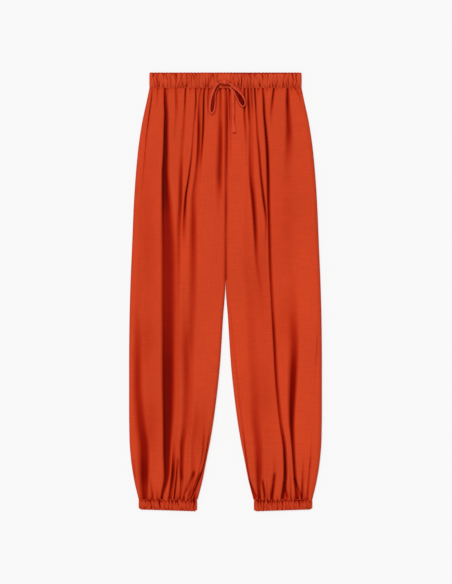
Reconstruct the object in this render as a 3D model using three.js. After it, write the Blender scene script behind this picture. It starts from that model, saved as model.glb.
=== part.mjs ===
import * as THREE from "three";

// Elastic-waist trousers with gathered cuffs, laid out flat on their back. Millimetres.
// +X points to the wearer's left, +Y to the waist and +Z up from the surface they lie on.
// The origin is the middle of the outline, on that surface.

// Driving dimensions.
const LENGTH = 1010; // top edge of the waist to the lowest corner of the cuffs
const TOP = LENGTH / 2;
const CLOTH = 1.2; // wall of one layer of cloth
const SEAM = 0.3; // gap left between two pieces at a seam
const BAND_HEIGHT = 35.5;
const BAND_HALF_WIDTH = 175;
const BAND_WALL = 3; // two layers of cloth over the elastic, drawn together
const BAND_THICKNESS = 8; // front and back of the waistband, lying on each other
const BAND_PUCKER = 1.6;
const BAND_PITCH = 10.3; // from one gather of the waistband to the next
const CUFF_HEIGHT = 23;
const CUFF_DROP = 4.6; // how much lower a cuff's inner corner lies than its outer one
const CUFF_WALL = 2.4;
const CUFF_THICKNESS = 6.4;
const CUFF_PUCKER = 1.4;
const CUFF_PITCH = 7.4;
const RUFFLE = 1; // how far a casing's upper rim dips between two gathers
const CUFF_INNER = 65.5; // from the centre line to a cuff's two ends
const CUFF_OUTER = 199.7;
const TIE_WIDTH = 6.4;
const TIE_THICKNESS = 2;
const TIE_EDGE = 0.45; // thickness at the tie's two edges, as a share of that at its middle
const TIE_FLAT = 0.6; // share of the tie's width that is at full thickness
const KNOT = { x: -2.3, y: 480.5, length: 22.5, height: 13.5, depth: 8.6 };

const WAIST_SEAM = TOP - BAND_HEIGHT;
const CUFF_SEAM = -TOP + CUFF_HEIGHT + CUFF_DROP;
const FRONT_FLOOR = CLOTH + SEAM; // underside of the front where it touches the back
const FRONT_LOW = FRONT_FLOOR + CLOTH;
const BAND_RIDGE = BAND_THICKNESS + 1.5 * BAND_PUCKER; // height of the waistband's highest gathers

// Fineness of the pieces.
const PANEL_ROWS = 22;
const BACK_COLUMNS = 6;
const ROW_CROWDING = 0.55; // how much closer the rows lie at the waist and at the ankle
const END_STEPS = 4; // around the folded ends of the waistband and the cuffs
const GATHER_STEPS = 4; // columns to a gather of the waistband and the cuffs
const TIE_STEPS = 22;
const KNOT_SEGMENTS = { around: 20, along: 12 };

// Outline of one leg, its two edges measured from the centre line.
const OUTLINE = [
  { level: "waist seam", y: 469.5, outer: 175, inner: 0 },
  { level: "yoke", y: 441, outer: 181, inner: 0 },
  { level: "hip", y: 384, outer: 193, inner: 0 },
  { level: "low hip", y: 315, outer: 202.5, inner: 0 },
  { level: "crotch", y: 212, outer: 210.5, inner: 0 },
  { level: "upper thigh", y: 108, outer: 215, inner: 0 },
  { level: "parting", y: 26, outer: 218.5, inner: 0 },
  { level: "thigh", y: -64, outer: 221, inner: 5.8 },
  { level: "knee", y: -168, outer: 222, inner: 12.6 },
  { level: "calf", y: -271, outer: 222, inner: 24 },
  { level: "shin", y: -340, outer: 221, inner: 34.5 },
  { level: "low shin", y: -386, outer: 217.5, inner: 43.5 },
  { level: "ankle", y: -432, outer: 210.5, inner: 52.5 },
  { level: "cuff seam", y: -477.4, outer: 200, inner: 64 },
];

// The levels at which the folds are laid down, and how high the front puffs up there.
const LEVELS = [
  { level: "waist", y: 469.5, loft: 8.4, centre: 4.5 },
  { level: "hip", y: 372.5, loft: 10.5, centre: 5 },
  { level: "seat", y: 246, loft: 11, centre: 6 },
  { level: "thigh", y: 96.5, loft: 10.5, centre: 4.5 },
  { level: "knee", y: -87.5, loft: 10.5, centre: FRONT_LOW },
  { level: "calf", y: -271.5, loft: 11, centre: FRONT_LOW },
  { level: "shin", y: -375, loft: 13.5, centre: FRONT_LOW },
  { level: "ankle", y: -474, loft: 9, centre: FRONT_LOW },
];

// The folds of each front panel, from the viewer's left to right: where the bottom of the fold lies at
// each level, its depth there, and how far its steep left side and its gentle right side reach.
const FOLDS = {
  right: [
    {
      name: "side", lip: 4, slope: 8,
      x: [-164.5, -178, -189, -197, -199, -197, -189, -182],
      depth: [0, 2, 2.5, 0.5, 2, 4, 7, 4],
    },
    {
      name: "side gather", lip: 4, slope: 6,
      x: [-154, -160, -167, -170, -171, -172.5, -169, -165.5],
      depth: [4, 1.5, 0, 0, 0, 0, 1, 3],
    },
    {
      name: "long pleat", lip: 3, slope: 18,
      x: [-140.5, -141, -145, -144, -142.5, -142.5, -140.5, -149.5],
      depth: [6, 8, 9, 9, 9, 9, 10, 6],
    },
    {
      name: "hip gather", lip: 6, slope: 8,
      x: [-109, -114, -117, -118.5, -118.5, -119.5, -121, -129],
      depth: [4, 3, 1, 0, 0, 1, 6, 5],
    },
    {
      name: "third pleat", lip: 4, slope: 8,
      x: [-92, -96, -100, -102, -103.5, -108, -113, -117],
      depth: [5, 4, 5, 0, 0, 0, 1, 4],
    },
    {
      name: "short pleat", lip: 3, slope: 10,
      x: [-69, -70.5, -85, -88.5, -93, -101, -106, -109],
      depth: [5, 4, 7, 0, 0, 0, 0, 3],
    },
    {
      name: "thigh fold", lip: 5, slope: 10,
      x: [-56, -62.5, -69, -75.5, -84, -94, -100.5, -99],
      depth: [3, 2, 3, 6, 4, 3, 5, 4],
    },
    {
      name: "front gather", lip: 5, slope: 8,
      x: [-46, -52.5, -59, -58.5, -63, -72.5, -75, -87.5],
      depth: [5, 3, 1, 0, 0, 0.5, 1.5, 4],
    },
    {
      name: "tie gather", lip: 5, slope: 6,
      x: [-35.5, -38, -40, -40, -43.5, -49.5, -50.5, -77],
      depth: [4, 1, 0, 0, 0, 1, 5, 4],
    },
    {
      name: "centre gather", lip: 4, slope: 5,
      x: [-11.5, -11.5, -15, -15, -24, -39, -45.5, -69.5],
      depth: [4, 3, 3, 0, 0, 0, 2, 2],
    },
  ],
  left: [
    {
      name: "centre gather", lip: 4, slope: 5,
      x: [10.5, 11.5, 12.5, 10.5, 14, 35.5, 48.5, 71.5],
      depth: [4, 1, 0, 0, 1, 1, 3, 3],
    },
    {
      name: "front gather", lip: 5, slope: 5,
      x: [43.5, 45.5, 47, 45, 47, 55, 61, 76.5],
      depth: [4, 3, 0.5, 0, 0, 0, 0, 2],
    },
    {
      name: "short pleat", lip: 3, slope: 8,
      x: [52, 56.5, 58.5, 72.5, 65.5, 75, 72, 82],
      depth: [4, 4, 7, 6, 3, 2, 2, 4],
    },
    {
      name: "small gather", lip: 4, slope: 5,
      x: [60, 64.5, 70, 79.5, 80.5, 91, 93, 90.5],
      depth: [3, 1, 0, 0, 0, 0, 1, 4],
    },
    {
      name: "joining pleat", lip: 4, slope: 7,
      x: [67, 72.5, 84, 90, 96.5, 107, 116, 104.5],
      depth: [6, 4, 4, 0, 0, 0, 3, 5],
    },
    {
      name: "long pleat", lip: 3, slope: 12,
      x: [86.5, 93, 98.5, 102, 110.5, 123.5, 135.5, 133.5],
      depth: [6, 6, 7, 8, 8, 8, 10, 6],
    },
    {
      name: "hip gather", lip: 4, slope: 6,
      x: [110.5, 108, 111.5, 116, 125.5, 135.5, 144.5, 147],
      depth: [6, 1, 0, 0, 0, 0, 1, 3],
    },
    {
      name: "calf pleat", lip: 4, slope: 9,
      x: [142.5, 144, 145, 148.5, 157.5, 152.5, 155, 162],
      depth: [6, 3, 1, 0, 2, 8, 10, 6],
    },
    {
      name: "side gather", lip: 5, slope: 6,
      x: [159, 171.5, 178.5, 183, 187.5, 185, 180.5, 177],
      depth: [4, 1, 0, 0, 0, 0, 2, 4],
    },
    {
      name: "side", lip: 4, slope: 5,
      x: [167.5, 185, 195.5, 203.5, 210.5, 207, 196.5, 188],
      depth: [2, 0, 0, 0, 1.5, 1, 2.5, 3],
    },
  ],
};
const OUTER_ROLL = 16; // how far in from the outer edge the front comes up to its full loft
const INNER_ROLL = 11;
const PUCKER_DEPTH = 2.2; // of the small gathers between the folds, at the waist and cuff seams
const PUCKER_REACH = 34;
const SLOPE_SHARE = 0.36; // the most of the space between two folds that a gentle side takes
const LIP_SHARE = 0.3; // and that a steep side takes

// The drawstring's three free stretches, as they leave the knot: points of the middle line, and their
// height over what they lie on.
const LOW_STRAND = SEAM + TIE_THICKNESS / 2;
const HIGH_STRAND = LOW_STRAND + TIE_THICKNESS + 2 * SEAM;
const TIES = {
  drawstring_loop_right: [
    { x: -15.6, y: 479.6, lift: HIGH_STRAND },
    { x: -22, y: 473, lift: HIGH_STRAND },
    { x: -28.5, y: 460, lift: LOW_STRAND },
    { x: -33.4, y: 445, lift: LOW_STRAND },
    { x: -36.2, y: 429, lift: LOW_STRAND },
    { x: -36, y: 416, lift: LOW_STRAND },
    { x: -31.2, y: 409, lift: LOW_STRAND },
    { x: -26, y: 416, lift: LOW_STRAND },
    { x: -24.2, y: 429, lift: LOW_STRAND },
    { x: -22.6, y: 443, lift: LOW_STRAND },
    { x: -18.5, y: 456, lift: LOW_STRAND },
    { x: -12, y: 468.5, lift: LOW_STRAND },
  ],
  drawstring_loop_left: [
    { x: 10, y: 478.5, lift: HIGH_STRAND },
    { x: 17.5, y: 471.5, lift: HIGH_STRAND },
    { x: 26.5, y: 467, lift: HIGH_STRAND },
    { x: 34.5, y: 461.5, lift: LOW_STRAND },
    { x: 40, y: 452, lift: LOW_STRAND },
    { x: 43.8, y: 441, lift: LOW_STRAND },
    { x: 44, y: 431, lift: LOW_STRAND },
    { x: 38.8, y: 427, lift: LOW_STRAND },
    { x: 33.4, y: 433.5, lift: LOW_STRAND },
    { x: 28.8, y: 444, lift: LOW_STRAND },
    { x: 24.2, y: 454, lift: LOW_STRAND },
    { x: 18.5, y: 465, lift: LOW_STRAND },
  ],
  drawstring_end: [
    { x: 8, y: 471.3, lift: LOW_STRAND },
    { x: 12, y: 461.5, lift: LOW_STRAND },
    { x: 14.6, y: 449, lift: LOW_STRAND },
    { x: 15.8, y: 436, lift: LOW_STRAND },
    { x: 16, y: 422, lift: LOW_STRAND },
    { x: 16.4, y: 409, lift: LOW_STRAND },
    { x: 15.2, y: 396, lift: LOW_STRAND },
    { x: 15.2, y: 384, lift: LOW_STRAND },
    { x: 17.4, y: 375, lift: LOW_STRAND },
    { x: 20.4, y: 367.5, lift: LOW_STRAND },
  ],
};

// A smooth curve through the values at the given y, which run downwards, with no overshoot between them.
function curve(ys, values) {
  const rise = ys.slice(1).map((y, k) => (values[k + 1] - values[k]) / (y - ys[k]));
  const tangent = values.map((_, k) => {
    const before = rise[k - 1] ?? rise[k];
    const after = rise[k] ?? before;
    return before * after > 0 ? (2 * before * after) / (before + after) : 0;
  });
  return (y) => {
    const held = Math.min(Math.max(y, ys[ys.length - 1]), ys[0]);
    const k = Math.max(1, ys.findIndex((level) => level <= held)) - 1;
    const span = ys[k + 1] - ys[k];
    const t = (held - ys[k]) / span;
    const keep = (1 + 2 * t) * (1 - t) ** 2;
    const bend = t * (1 - t) * span * ((1 - t) * tangent[k] - t * tangent[k + 1]);
    return keep * values[k] + (1 - keep) * values[k + 1] + bend;
  };
}

const column = (table, key) => curve(table.map((row) => row.y), table.map((row) => row[key]));
const outerEdge = column(OUTLINE, "outer");
const innerEdge = column(OUTLINE, "inner");
const loft = column(LEVELS, "loft");
const centreHeight = column(LEVELS, "centre");
const levelYs = LEVELS.map((row) => row.y);
for (const fold of [...FOLDS.right, ...FOLDS.left]) {
  fold.at = curve(levelYs, fold.x);
  fold.deep = curve(levelYs, fold.depth);
}

// How far a surface has come up, 0 to 1, at a distance from the edge that it rolls over.
const rolled = (distance, reach) => Math.sqrt(1 - (1 - Math.min(1, Math.max(0, distance / reach))) ** 2);

// Height of the outside of a front panel. side is 1 on the wearer's left and -1 on their right.
function frontHeight(side, x, y) {
  const full = loft(y);
  const fromOuter = rolled(outerEdge(y) - side * x, OUTER_ROLL);
  const fromInner = rolled(side * x - innerEdge(y), INNER_ROLL);
  const centre = centreHeight(y);
  let z = Math.min(FRONT_LOW + (full - FRONT_LOW) * fromOuter, centre + (full - centre) * fromInner);
  for (const fold of side > 0 ? FOLDS.left : FOLDS.right) {
    const off = x - fold.at(y);
    const share = 1 - Math.abs(off) / (off < 0 ? fold.lip : fold.slope);
    z -= share > 0 ? fold.deep(y) * share ** 2 : 0;
  }
  return Math.max(FRONT_LOW, z);
}

// A wall between an outer and an inner sheet of points, given as rows of equal length. Rows run along +Y.
// The points of a row run along +X, or all the way round a ring.
function wall(outer, inner, ring = false) {
  const rows = outer.length;
  const columns = outer[0].length;
  const last = ring ? columns : columns - 1;
  const at = (sheet, i, j) => sheet * rows * columns + i * columns + (j % columns);
  const faces = [];
  const quad = (a, b, c, d) => faces.push(a, b, c, a, c, d);
  for (let i = 0; i < rows - 1; i++) {
    for (let j = 0; j < last; j++) {
      quad(at(0, i, j), at(0, i, j + 1), at(0, i + 1, j + 1), at(0, i + 1, j));
      quad(at(1, i, j), at(1, i + 1, j), at(1, i + 1, j + 1), at(1, i, j + 1));
    }
    if (ring) continue;
    quad(at(0, i, 0), at(0, i + 1, 0), at(1, i + 1, 0), at(1, i, 0));
    quad(at(1, i, last), at(1, i + 1, last), at(0, i + 1, last), at(0, i, last));
  }
  for (let j = 0; j < last; j++) {
    quad(at(1, 0, j), at(1, 0, j + 1), at(0, 0, j + 1), at(0, 0, j));
    quad(at(0, rows - 1, j), at(0, rows - 1, j + 1), at(1, rows - 1, j + 1), at(1, rows - 1, j));
  }
  const points = [...outer.flat(), ...inner.flat()].flatMap((p) => [p.x, p.y, p.z]);
  const geometry = new THREE.BufferGeometry();
  geometry.setAttribute("position", new THREE.Float32BufferAttribute(points, 3));
  geometry.setIndex(faces);
  geometry.computeVertexNormals();
  return geometry;
}

// Rows of a panel from the cuff seam up to the waist seam, closer together at both.
const panelRows = Array.from({ length: PANEL_ROWS + 1 }, (_, i) => {
  const t = i / PANEL_ROWS;
  const eased = t - (ROW_CROWDING * Math.sin(2 * Math.PI * t)) / (2 * Math.PI);
  return CUFF_SEAM + SEAM / 2 + (WAIST_SEAM - CUFF_SEAM - SEAM) * eased;
});

// The two edges of a panel at a height y, from the viewer's left to right.
function panelEdges(side, y) {
  const edges = [innerEdge(y) + SEAM / 2, outerEdge(y)];
  return side > 0 ? edges : edges.reverse().map((x) => -x);
}

// One row of a front panel: a column at the bottom of each fold, and three in each space between two of
// them, one past the fold's gentle side, one in the small gather halfway, and one on the next fold's lip.
function frontRow(side, y) {
  const folds = side > 0 ? FOLDS.left : FOLDS.right;
  const [first, last] = panelEdges(side, y);
  const stops = [first, ...folds.map((fold) => fold.at(y)), last];
  const gathered = Math.exp(-Math.min(WAIST_SEAM - y, y - CUFF_SEAM) / PUCKER_REACH);
  const row = [{ x: first, pucker: 0 }];
  for (let k = 0; k < stops.length - 1; k++) {
    const gap = stops[k + 1] - stops[k];
    const slope = k > 0 ? folds[k - 1].slope : INNER_ROLL;
    const lip = k < folds.length ? folds[k].lip : INNER_ROLL / 2;
    const past = stops[k] + Math.min(slope, gap * SLOPE_SHARE);
    const before = stops[k + 1] - Math.min(lip, gap * LIP_SHARE);
    row.push({ x: past, pucker: 0 }, { x: (past + before) / 2, pucker: PUCKER_DEPTH * gathered });
    row.push({ x: before, pucker: 0 }, { x: stops[k + 1], pucker: 0 });
  }
  return row.map(({ x, pucker }) => {
    const z = Math.max(FRONT_LOW, frontHeight(side, x, y) - pucker);
    return new THREE.Vector3(x, y, z);
  });
}

// The inside of a row of cloth, one wall away from it square to the cloth, and clear of the back.
function insideOf(row) {
  const inside = [];
  row.forEach((point, j) => {
    const before = row[Math.max(0, j - 1)];
    const after = row[Math.min(row.length - 1, j + 1)];
    const ends = j === 0 || j === row.length - 1;
    const run = new THREE.Vector2(after.x - before.x, after.z - before.z).normalize();
    const tilt = ends ? 0 : run.y;
    const level = ends ? 1 : run.x;
    const furthest = j > 0 ? inside[j - 1].x + SEAM : -Infinity;
    const x = Math.max(point.x + tilt * CLOTH, furthest);
    inside.push(new THREE.Vector3(x, point.y, Math.max(FRONT_FLOOR, point.z - level * CLOTH)));
  });
  return inside;
}

function frontPanel(side) {
  const outer = panelRows.map((y) => frontRow(side, y));
  return wall(outer, outer.map(insideOf));
}

function backPanel(side) {
  const layer = (z) =>
    panelRows.map((y) => {
      const [first, last] = panelEdges(side, y);
      const step = (last - first) / BACK_COLUMNS;
      return Array.from({ length: BACK_COLUMNS + 1 }, (_, j) => new THREE.Vector3(first + step * j, y, z));
    });
  return wall(layer(CLOTH), layer(0));
}

// Rows across a casing, from its bottom rim to its top one, and how much it swells there, as a share of
// the depth of its gathers.
const CASING_ROWS = [
  { share: 0, swell: -0.35 },
  { share: 0.5, swell: 0.5 },
  { share: 1, swell: -0.35 },
];

// How the gathers of a casing vary along it: their spacing by two waves, and their height by one.
const SPACING_WAVES = [
  { share: 0.24, reach: 23, phase: 0 },
  { share: 0.16, reach: 9.7, phase: 1.3 },
];
const HEIGHT_WAVE = { share: 0.28, reach: 13, phase: 0.6 };
const wave = (x, { share, reach, phase }) => share * Math.sin(x / reach + phase);

// Gathers along an elastic casing, -1 to 1: uneven, so that no two are alike.
function gathers(x, pitch) {
  const wander = wave(x, SPACING_WAVES[0]) + wave(x, SPACING_WAVES[1]);
  return Math.sin(2 * Math.PI * (x / pitch + wander)) * (1 - HEIGHT_WAVE.share + wave(x, HEIGHT_WAVE));
}

// An elastic casing lying flat: one ring of cloth from left to right, gathered on its upper face, with a
// narrow slit through it. bottom and top give the heights y of its two rims at a place x.
function casing({ left, right, bottom, top, thickness, thick, pucker, pitch }) {
  const round = thickness / 2;
  const length = right - left - 2 * round;
  const steps = Math.round(length / pitch) * GATHER_STEPS;
  const along = (share) => left + round + length * share;
  const path = [];
  for (let k = 0; k <= steps; k++) {
    path.push({ x: along(k / steps), turn: 0 });
  }
  for (let k = 1; k < END_STEPS; k++) {
    path.push({ x: right - round, turn: (Math.PI * k) / END_STEPS });
  }
  for (let k = steps; k >= 0; k -= GATHER_STEPS) {
    path.push({ x: along(k / steps), turn: Math.PI });
  }
  for (let k = END_STEPS - 1; k > 0; k--) {
    path.push({ x: left + round, turn: (-Math.PI * k) / END_STEPS });
  }
  const place = ({ x, turn }, reach, y, puff = 0) =>
    new THREE.Vector3(x + reach * Math.sin(turn), y, round + reach * Math.cos(turn) + puff);
  const rim = (stop, share) => {
    const dip = stop.turn === 0 ? (RUFFLE / 2) * (1 + gathers(stop.x + pitch / 4, pitch)) : 0;
    return THREE.MathUtils.lerp(bottom(stop.x), top(stop.x) - dip, share);
  };
  const outer = CASING_ROWS.map(({ share, swell }) =>
    path.map((stop) => {
      const puff = stop.turn === 0 ? pucker * (gathers(stop.x, pitch) + swell) : 0;
      return place(stop, round, rim(stop, share), puff);
    }),
  );
  const inner = CASING_ROWS.map(({ share }) =>
    path.map((stop) => place(stop, round - thick, rim(stop, share))),
  );
  return wall(outer, inner, true);
}

const waistband = () =>
  casing({
    left: -BAND_HALF_WIDTH,
    right: BAND_HALF_WIDTH,
    bottom: () => WAIST_SEAM + SEAM / 2,
    top: () => TOP,
    thickness: BAND_THICKNESS,
    thick: BAND_WALL,
    pucker: BAND_PUCKER,
    pitch: BAND_PITCH,
  });

function cuff(side) {
  const ends = [side * CUFF_INNER, side * CUFF_OUTER].sort((a, b) => a - b);
  const drop = (x) => (CUFF_DROP * (CUFF_OUTER - side * x)) / (CUFF_OUTER - CUFF_INNER);
  return casing({
    left: ends[0],
    right: ends[1],
    bottom: (x) => -TOP + CUFF_DROP - Math.min(CUFF_DROP, drop(x)),
    top: () => CUFF_SEAM - SEAM / 2,
    thickness: CUFF_THICKNESS,
    thick: CUFF_WALL,
    pucker: CUFF_PUCKER,
    pitch: CUFF_PITCH,
  });
}

// Height of whatever lies uppermost under a patch of the tie around x, y.
function support(x, y) {
  const reach = TIE_WIDTH / 2;
  let highest = 0;
  for (const dx of [-reach, -reach / 2, 0, reach / 2, reach]) {
    for (const dy of [-reach, 0, reach]) {
      const onBand = y + dy > WAIST_SEAM - reach;
      const side = x + dx < 0 ? -1 : 1;
      highest = Math.max(highest, onBand ? BAND_RIDGE : frontHeight(side, x + dx, y + dy));
    }
  }
  return highest;
}

// A flat tie along the points of a route, lying on the cloth.
function tie(route) {
  const stops = route.map(({ x, y, lift }) => new THREE.Vector3(x, y, lift));
  const places = new THREE.CatmullRomCurve3(stops).getSpacedPoints(TIE_STEPS);
  const rest = places.map((p) => support(p.x, p.y));
  const top = [];
  const underside = [];
  places.forEach((p, k) => {
    const before = places[Math.max(0, k - 1)];
    const after = places[Math.min(TIE_STEPS, k + 1)];
    const across = new THREE.Vector3(after.y - before.y, before.x - after.x, 0).normalize();
    const height = Math.max(...rest.slice(Math.max(0, k - 1), k + 2)) + p.z;
    const row = (up) =>
      [-1, -TIE_FLAT, TIE_FLAT, 1].map((share) => {
        const half = (TIE_THICKNESS / 2) * (Math.abs(share) === 1 ? TIE_EDGE : 1);
        const out = across.clone().multiplyScalar((share * TIE_WIDTH) / 2);
        return new THREE.Vector3(p.x + out.x, p.y + out.y, height + up * half);
      });
    top.push(row(1));
    underside.push(row(-1));
  });
  return wall(top, underside);
}

function knot() {
  const body = new THREE.SphereGeometry(1 / 2, KNOT_SEGMENTS.around, KNOT_SEGMENTS.along);
  body.rotateX(Math.PI / 2);
  body.scale(KNOT.length, KNOT.height, KNOT.depth);
  body.translate(KNOT.x, KNOT.y, BAND_RIDGE + SEAM + KNOT.depth / 2);
  return body;
}

const CLOTH_COLOUR = 0xc9431f;
const BAND_COLOUR = 0xbc3d1c;
const TIE_COLOUR = 0xd04b27;
const ROUGHNESS = 0.55;
const trousers = new THREE.Group();
trousers.name = "elastic_waist_trousers";

function add(name, geometry, color) {
  const material = new THREE.MeshStandardMaterial({ color, roughness: ROUGHNESS, metalness: 0 });
  const mesh = new THREE.Mesh(geometry, material);
  mesh.name = name;
  trousers.add(mesh);
}

const SIDES = { left: 1, right: -1 };
for (const [name, side] of Object.entries(SIDES)) {
  add(`front_${name}`, frontPanel(side), CLOTH_COLOUR);
  add(`back_${name}`, backPanel(side), CLOTH_COLOUR);
  add(`cuff_${name}`, cuff(side), BAND_COLOUR);
}
add("waistband", waistband(), BAND_COLOUR);
add("drawstring_knot", knot(), TIE_COLOUR);
for (const [name, route] of Object.entries(TIES)) {
  add(name, tie(route), TIE_COLOUR);
}

export default trousers;
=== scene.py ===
import math
import random

import bpy
import numpy as np
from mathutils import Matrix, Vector


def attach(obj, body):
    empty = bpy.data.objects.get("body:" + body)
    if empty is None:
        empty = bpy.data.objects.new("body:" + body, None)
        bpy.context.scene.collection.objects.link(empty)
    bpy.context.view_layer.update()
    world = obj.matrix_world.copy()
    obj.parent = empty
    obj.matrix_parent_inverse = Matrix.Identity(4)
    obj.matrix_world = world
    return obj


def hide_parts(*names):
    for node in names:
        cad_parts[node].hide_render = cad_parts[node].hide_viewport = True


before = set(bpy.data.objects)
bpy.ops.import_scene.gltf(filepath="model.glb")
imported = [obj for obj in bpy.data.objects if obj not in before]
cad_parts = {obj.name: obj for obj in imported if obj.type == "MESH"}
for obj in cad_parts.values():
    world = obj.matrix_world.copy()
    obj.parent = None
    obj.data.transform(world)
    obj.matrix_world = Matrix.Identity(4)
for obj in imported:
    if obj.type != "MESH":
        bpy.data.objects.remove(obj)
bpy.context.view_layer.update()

# Lengths in the tables are in millimetres, and MM turns them into the scene's metres.
MM = 0.001
SEED = 11

# The picture's frame, and the size of one of its pixels on the trousers.
PICTURE = (452, 584)
PIXEL = 2.3 * MM
VIEW_CENTRE_X = 1.15 * MM
EDGE_HEIGHT = 5 * MM  # height of the garment's outline, at which a pixel is that size
LENS = 85
SENSOR = 36

# The garment's driving sizes, those of its solids.
TOP = 505
BAND_HEIGHT = 35.5
WAIST_SEAM = TOP - BAND_HEIGHT
CUFF_SEAM = -477.4
CLOTH = 1.2
SEAM = 0.3  # from one piece to the next
FRONT_LOW = 2 * CLOTH + SEAM  # lowest outer face of a front, where it lies on the back

# Outline of one leg, its two edges measured from the centre line: y, outer, inner.
OUTLINE = (
    (469.5, 175, 0), (441, 181, 0), (384, 193, 0), (315, 202.5, 0), (212, 210.5, 0), (108, 215, 0),
    (26, 218.5, 0), (-64, 221, 5.8), (-168, 222, 12.6), (-271, 222, 24), (-340, 221, 34.5), (-386, 217.5, 43.5),
    (-432, 210.5, 52.5), (-477.4, 200, 64),
)

# How high the front puffs up along its legs and along the centre seam: y, loft, centre.
LEVELS = (
    (469.5, 8.4, 6.5), (372.5, 11, 8.5), (246, 12, 9), (96.5, 12, 7.5), (-87.5, 12, 2.7), (-271.5, 12.5, 2.7),
    (-375, 14, 2.7), (-474, 9, 2.7),
)

# The levels y at which the places and depths of the folds are given, and those for the reach of their sides.
STATIONS = (469, 441.5, 407, 372.5, 326.5, 269, 211.5, 154, 73.5, -18.5, -110.5, -202.5, -294.5, -363.5, -421, -474)
REACH_STATIONS = (469, 300, 60, -200, -400, -465)

# The folds of each front, from the viewer's left to right. lip, floor and slope are how far the left side, the bottom
# and the right side of a fold reach; core is how strongly shade is painted along its bottom; x is where the
# bottom starts; depth lowers the cloth and also sets the shade painted in the fold. A fold with no floor has a sharp
# bottom.
RIGHT_FOLDS = {
    "side": dict(
        lip=(2, 2, 6, 16, 14, 10), floor=(0, 0, 0, 0, 6, 6), slope=(2, 3, 10, 16, 13, 8),
        core=(0.3, 0.2, 0, 0, 0.1, 0.2),
        x=(-168, -170.5, -175.5, -179.5, -184, -188.5, -192, -194.5, -197, -200, -201.5, -201.5, -197, -190, -189.5,
           -189),
        depth=(1.5, 4, 4, 2.8, 2, 1, 0.3, 0.3, 0.3, 0.8, 3.5, 5.2, 5.2, 6.2, 8, 5),
    ),
    "side gather": dict(
        lip=(3, 4, 4, 4, 3, 3), slope=(5, 5, 5, 5, 5, 5), core=(0.2, 0, 0, 0, 0.2, 0.2),
        x=(-156.5, -156.5, -160, -162, -165.5, -168, -169, -170, -170, -170, -170, -170, -172, -178, -173, -167),
        depth=(3, 1.5, 0, 0, 0, 0, 0, 0, 0, 0, 0, 0, 0, 0, 1, 4),
    ),
    "long pleat": dict(
        lip=(3, 4, 9, 8, 6, 6), floor=(0, 3, 13, 12, 6, 1), slope=(9, 13, 24, 20, 9, 5),
        core=(0.3, 0.5, 0, 0, 0.3, 0.3),
        x=(-140.5, -140.5, -139.5, -140.5, -141.5, -144, -143.5, -142.5, -141, -141, -141, -141, -140, -140, -138.5,
           -147),
        depth=(5, 9, 10, 10.3, 10.2, 10, 8.8, 7, 6.8, 6.8, 7.5, 8.5, 8.5, 8.5, 8, 7),
    ),
    "hip gather": dict(
        lip=(4, 5, 5, 5, 4, 4), floor=(0, 0, 0, 0, 1, 1), slope=(6, 6, 6, 6, 8, 9),
        core=(0.2, 0, 0, 0, 0.4, 0.4),
        x=(-114, -113, -112.5, -115, -116, -117.5, -118.5, -118.5, -118.5, -118.5, -118.5, -118.5, -118.5, -119.5,
           -123, -129.5),
        depth=(3.5, 3.5, 2, 1, 0, 0, 0, 0, 0, 0, 0, 0, 0, 2.5, 8, 5),
    ),
    "second pleat": dict(
        lip=(2, 8, 9, 6, 3, 3), slope=(4, 5, 8, 10, 5, 5), core=(0.6, 0.2, 0.1, 0, 0.3, 0.3),
        x=(-92.5, -93, -94, -96, -99, -101.5, -103, -106, -108, -110, -112, -112, -110, -109.5, -113, -118.5),
        depth=(6, 4.5, 2.5, 2.5, 2.2, 5, 6, 4.5, 3.5, 2, 1.5, 1, 0, 0, 5.5, 7),
    ),
    "short pleat": dict(
        lip=(2, 2.5, 8, 12, 5, 3), floor=(0, 0, 0, 0, 1, 1), slope=(4, 4, 12, 24, 8, 7),
        core=(0.6, 0.5, 0.2, 0, 0.2, 0.2),
        x=(-69, -68.5, -70.5, -73.5, -77, -84, -92.5, -95, -94.5, -92, -90, -90, -93, -101, -101.5, -104.5),
        depth=(5, 5, 3, 2, 3, 6, 7.5, 4, 0, 0.5, 2, 4, 3.5, 6, 5, 3),
    ),
    "thigh fold": dict(
        lip=(3, 4, 14, 12, 4, 4), slope=(6, 10, 14, 12, 5, 5), core=(0.2, 0.2, 0, 0, 0.2, 0.2),
        x=(-56, -60, -62, -62.5, -63.5, -68, -74, -74, -74, -75, -79, -80, -83, -86, -87.5, -95.5),
        depth=(2.5, 3, 5, 7, 6.5, 4, 4.2, 5.4, 4.6, 3.6, 3, 1.5, 1.5, 1, 0.5, 3.5),
    ),
    "front gather": dict(
        lip=(3, 4, 5, 8, 8, 4), slope=(4, 5, 8, 10, 8, 4), core=(0.5, 0.2, 0, 0, 0, 0.2),
        x=(-49, -50.6, -51, -52, -55, -59, -61, -63, -63, -61, -61, -62, -67, -74, -73.5, -86),
        depth=(5, 7, 7, 6.8, 5, 1.5, 0.5, 0, 0, 0, 0, 0, 1, 1.5, 3, 2.5),
    ),
    "tie gather": dict(
        lip=(3, 4, 4, 4, 2.5, 2.5), slope=(5, 5, 5, 6, 5, 5), core=(0.2, 0, 0, 0, 0.3, 0.3),
        x=(-39, -40, -40, -40, -40, -41.5, -42.5, -43.5, -45, -45, -45, -47, -48.5, -52, -62, -72),
        depth=(5, 3.5, 1, 0, 0, 0, 0, 0, 0, 0, 0, 0, 0.3, 3, 1.5, 3),
    ),
    "centre gather": dict(
        lip=(3, 12, 12, 4, 2, 2), slope=(4, 8, 8, 4, 4, 4), core=(0.3, 0, 0, 0, 0.5, 0.5),
        x=(-11.5, -11.5, -11.5, -11, -11.5, -13, -13, -12.5, -15, -19.5, -24, -29.5, -34.5, -43.5, -57.5, -80),
        depth=(5, 4, 3.5, 5.5, 6.3, 6, 2, 0.3, 0, 0, 0, 0, 0, 5, 6, 5.5),
    ),
}
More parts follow.
